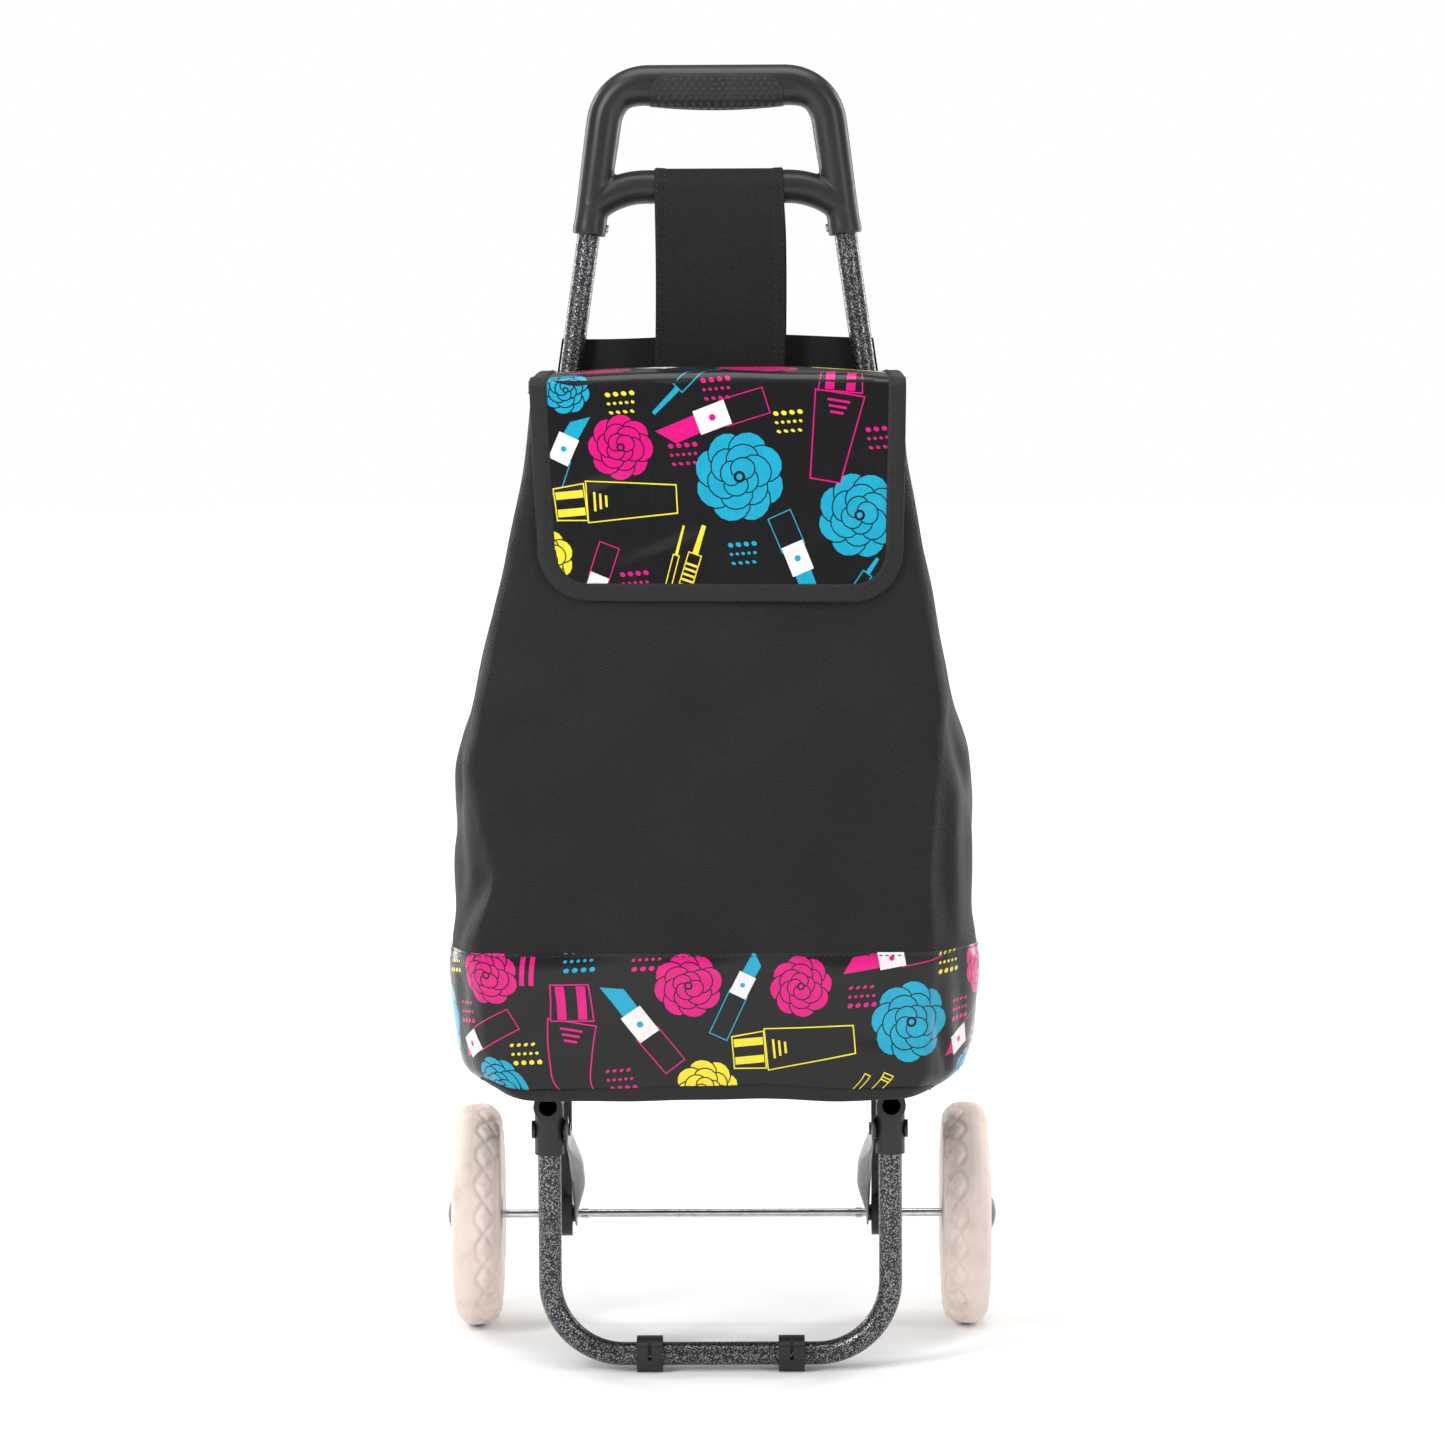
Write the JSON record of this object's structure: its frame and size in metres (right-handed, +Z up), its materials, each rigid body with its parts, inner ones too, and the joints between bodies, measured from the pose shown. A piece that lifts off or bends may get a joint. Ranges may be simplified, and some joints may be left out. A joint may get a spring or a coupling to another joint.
{
  "type": "shopping trolley",
  "caption": "Upright two-wheeled shopping trolley: steel tube frame with a moulded handle, foam wheels and a soft cloth bag under a printed flap.",
  "frame": {"origin": "on the floor, at the middle of the trolley's outline seen from above", "axes": "+X to the right seen from the bag's front, +Y from the bag's front towards the wheels at the back, +Z up"},
  "size_m": [0.396, 0.2764, 0.904],
  "materials": {
    "handle_plastic": "matt black moulded polypropylene, fine eggshell grain",
    "grip_pad": "softer black plastic with rows of dimples",
    "zinc_steel": "zinc-plated steel",
    "black_steel": "black oxide steel",
    "hammertone": "dark grey hammertone powder coat with silver flecks",
    "joint_plastic": "black moulded nylon, satin",
    "foot_plastic": "black moulded plastic, satin",
    "brace_paint": "glossy grey-black paint",
    "axle_chrome": "bright plated steel",
    "eva_foam": "cream-pink EVA foam, matt, moulded tread",
    "hub_plastic": "black plastic, satin",
    "hub_cap": "dark grey glossy plastic",
    "oxford_cloth": "black oxford polyester, fine diagonal weave",
    "printed_cloth": "black coated cloth with glossy floral and cosmetics print",
    "binding_tape": "black woven binding tape with a row of stitches",
    "hook_and_loop": "black hook-and-loop tape",
    "board": "grey-brown hardboard"
  },
  "bodies": {
    "frame": {"handle_shell": "handle_plastic", "cross_bar": "handle_plastic", "grip_pad": "grip_pad", "handle_screws": "zinc_steel", "upright_left": "hammertone", "upright_right": "hammertone", "rear_joint_left": "joint_plastic", "rear_joint_right": "joint_plastic", "base_tube_left": "hammertone", "base_tube_right": "hammertone", "front_joint_left": "joint_plastic", "front_joint_right": "joint_plastic", "joint_rivets": "black_steel", "joint_spacers": "black_steel", "leg_tube": "hammertone", "foot_clip_left": "foot_plastic", "foot_clip_right": "foot_plastic", "brace_left": "brace_paint", "brace_right": "brace_paint", "axle": "axle_chrome", "axle_collars": "black_steel", "axle_clips": "zinc_steel", "bag_front_panel": "oxford_cloth", "bag_back_panel": "oxford_cloth", "bag_side_left": "oxford_cloth", "bag_side_right": "oxford_cloth", "bag_band": "printed_cloth", "bag_bottom": "printed_cloth", "base_board": "board", "mouth_hem": "binding_tape", "back_sleeve": "oxford_cloth", "hanging_strap": "oxford_cloth", "bag_loop_patch": "hook_and_loop"},
    "wheel_left": {"tyre_left": "eva_foam", "hub_left": "hub_plastic", "hub_cap_left": "hub_cap"},
    "wheel_right": {"tyre_right": "eva_foam", "hub_right": "hub_plastic", "hub_cap_right": "hub_cap"},
    "flap_top": {"flap_top_panel": "printed_cloth", "flap_top_binding": "binding_tape"},
    "flap_front": {"flap_front_panel": "printed_cloth", "flap_front_binding": "binding_tape", "flap_hook_patch": "hook_and_loop"}
  },
  "joints": [
    {"name": "wheel_left_spin", "type": "hinge", "parent": "frame", "child": "wheel_left", "pos_m": [-0.1755, 0.05815, 0.08], "axis": [1, 0, 0], "continuous": true},
    {"name": "wheel_right_spin", "type": "hinge", "parent": "frame", "child": "wheel_right", "pos_m": [0.1755, 0.05815, 0.08], "axis": [1, 0, 0], "continuous": true},
    {"name": "flap_lift", "type": "hinge", "parent": "frame", "child": "flap_top", "pos_m": [0, 0.04135, 0.6872], "axis": [-1, 0, 0], "range_deg": [0, 85]},
    {"name": "flap_fold", "type": "hinge", "parent": "flap_top", "child": "flap_front", "pos_m": [0, -0.11815, 0.6872], "axis": [-1, 0, 0], "range_deg": [0, 90]}
  ]
}
